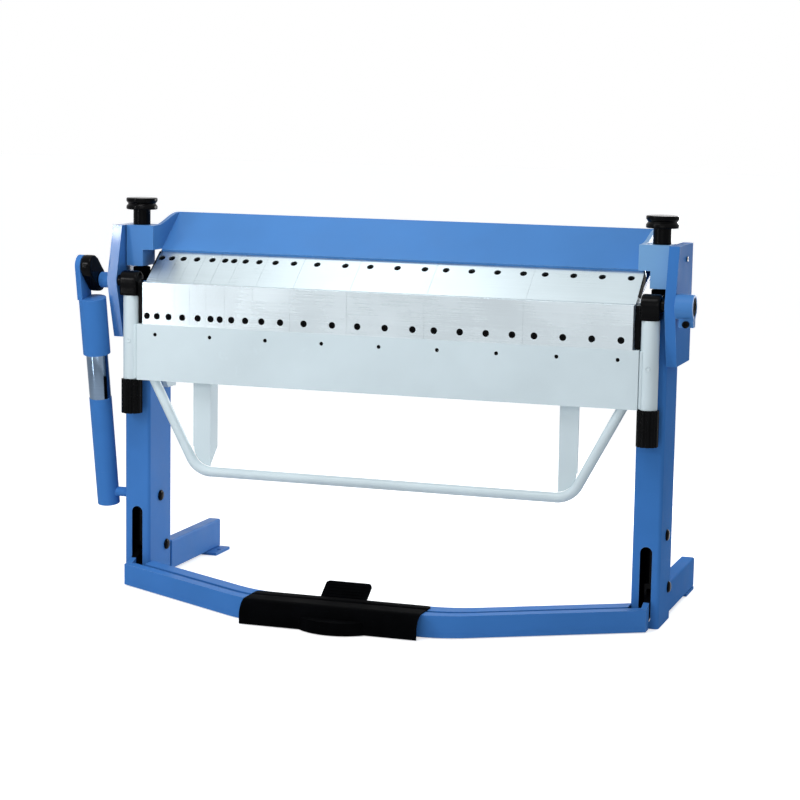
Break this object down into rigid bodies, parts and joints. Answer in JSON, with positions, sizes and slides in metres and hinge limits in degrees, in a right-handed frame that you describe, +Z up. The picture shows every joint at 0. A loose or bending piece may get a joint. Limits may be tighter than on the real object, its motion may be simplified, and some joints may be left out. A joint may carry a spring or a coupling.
{
  "type": "box and pan folding machine",
  "caption": "Foot-operated sheet metal folding machine with segmented fingers, a swinging bending beam with a handle, a pedal-lifted clamping beam and a balance strut.",
  "frame": {"origin": "on the floor, at the middle of the machine's bounding box", "axes": "+X along the bend line to the right end, +Y to the back, +Z up; the operator stands at -Y"},
  "size_m": [1.584, 0.846, 0.999],
  "materials": {
    "frame_paint": "semi-gloss blue enamel",
    "pale_paint": "semi-gloss pale grey enamel",
    "polished_steel": "ground and polished",
    "bare_steel": "turned",
    "blackened_steel": "black oxide",
    "black_paint": "satin black",
    "black_knob": "moulded satin",
    "chrome": "hard chrome plate"
  },
  "bodies": {
    "frame": {"leg_left": "frame_paint", "leg_right": "frame_paint", "side_plate_left": "frame_paint", "side_plate_right": "frame_paint", "hinge_boss_left": "frame_paint", "hinge_boss_right": "frame_paint", "boss_clamp_bolt": "blackened_steel", "guide_screws": "blackened_steel", "rear_foot_left": "frame_paint", "rear_foot_right": "frame_paint", "cross_tie": "frame_paint", "bed_beam": "pale_paint", "bed_bracket_left": "pale_paint", "bed_bracket_right": "pale_paint", "leg_bolts": "blackened_steel", "lift_springs": "bare_steel", "strut_anchor_pin": "frame_paint"},
    "clamping_beam": {"upper_beam": "frame_paint", "beam_arm_left": "frame_paint", "beam_arm_right": "frame_paint", "finger_screws": "blackened_steel", "finger_end_strips": "black_paint", "pull_rod_left": "blackened_steel", "pull_rod_right": "blackened_steel", "upper_finger_1": "polished_steel", "upper_finger_2": "polished_steel", "upper_finger_3": "polished_steel", "upper_finger_4": "polished_steel", "upper_finger_5": "polished_steel", "upper_finger_6": "polished_steel", "upper_finger_7": "polished_steel", "upper_finger_8": "polished_steel", "upper_finger_9": "polished_steel", "upper_finger_10": "polished_steel", "upper_finger_11": "polished_steel", "upper_finger_12": "polished_steel"},
    "left_knob": {"clamp_knob_left": "black_knob"},
    "right_knob": {"clamp_knob_right": "black_knob"},
    "bending_wing": {"folding_beam": "pale_paint", "folding_bar": "polished_steel", "bar_screws": "blackened_steel", "end_post_left": "pale_paint", "end_post_right": "pale_paint", "hinge_knuckle_left": "blackened_steel", "hinge_knuckle_right": "blackened_steel", "hinge_pin_left": "blackened_steel", "hinge_pin_right": "blackened_steel", "lock_nuts": "blackened_steel", "handle_tube": "pale_paint", "handle_angle_left": "pale_paint", "handle_angle_right": "pale_paint", "strut_crank": "blackened_steel"},
    "left_nut": {"adjusting_nut_left": "blackened_steel"},
    "right_nut": {"adjusting_nut_right": "blackened_steel"},
    "foot_pedal": {"pedal_frame": "frame_paint", "pedal_cover": "black_paint"},
    "release": {"release_pedal": "black_paint"},
    "strut_foot": {"strut_lower_tube": "frame_paint", "strut_chrome_tube": "chrome"},
    "strut_head": {"strut_sleeve": "frame_paint"}
  },
  "joints": [
    {"name": "clamp_lift", "type": "slide", "parent": "frame", "child": "clamping_beam", "axis": [0, 0, 1], "range_m": [0, 0.047]},
    {"name": "pedal_swing", "type": "hinge", "parent": "frame", "child": "foot_pedal", "pos_m": [0.015, 0.05, 0.084], "axis": [-1, 0, 0], "range_deg": [0, 39.8], "deforming": ["lift_springs"]},
    {"name": "wing_fold", "type": "hinge", "parent": "frame", "child": "bending_wing", "pos_m": [0.015, -0.088, 0.79], "axis": [-1, 0, 0], "range_deg": [0, 135]},
    {"name": "strut_tilt", "type": "hinge", "parent": "frame", "child": "strut_foot", "pos_m": [-0.757, -0.023, 0.23], "axis": [-1, 0, 0], "range_deg": [0, 9]},
    {"name": "strut_stroke", "type": "slide", "parent": "strut_foot", "child": "strut_head", "axis": [0, 0.1728, -0.985], "range_m": [0, 0.0456]},
    {"name": "knob_left_turn", "type": "hinge", "parent": "clamping_beam", "child": "left_knob", "pos_m": [-0.664, -0.015, 0.95], "axis": [0, 0, 1], "continuous": true},
    {"name": "knob_right_turn", "type": "hinge", "parent": "clamping_beam", "child": "right_knob", "pos_m": [0.694, -0.015, 0.95], "axis": [0, 0, 1], "continuous": true},
    {"name": "nut_left_turn", "type": "hinge", "parent": "bending_wing", "child": "left_nut", "pos_m": [-0.658, -0.088, 0.52], "axis": [0, 0, 1], "continuous": true},
    {"name": "nut_right_turn", "type": "hinge", "parent": "bending_wing", "child": "right_nut", "pos_m": [0.688, -0.088, 0.52], "axis": [0, 0, 1], "continuous": true},
    {"name": "release_press", "type": "hinge", "parent": "frame", "child": "release", "pos_m": [-0.018, -0.24, 0.04], "axis": [-1, 0, 0], "range_deg": [0, 18], "stiffness_Nm_per_rad": 3, "springref_deg": -11.46}
  ],
  "couplings": [
    {"joint": "pedal_swing", "follows": "clamp_lift", "rad_per_m": 14.762},
    {"joint": "strut_tilt", "follows": "wing_fold", "ratio": 0.066141},
    {"joint": "strut_stroke", "follows": "wing_fold", "m_per_rad": 0.019295}
  ]
}
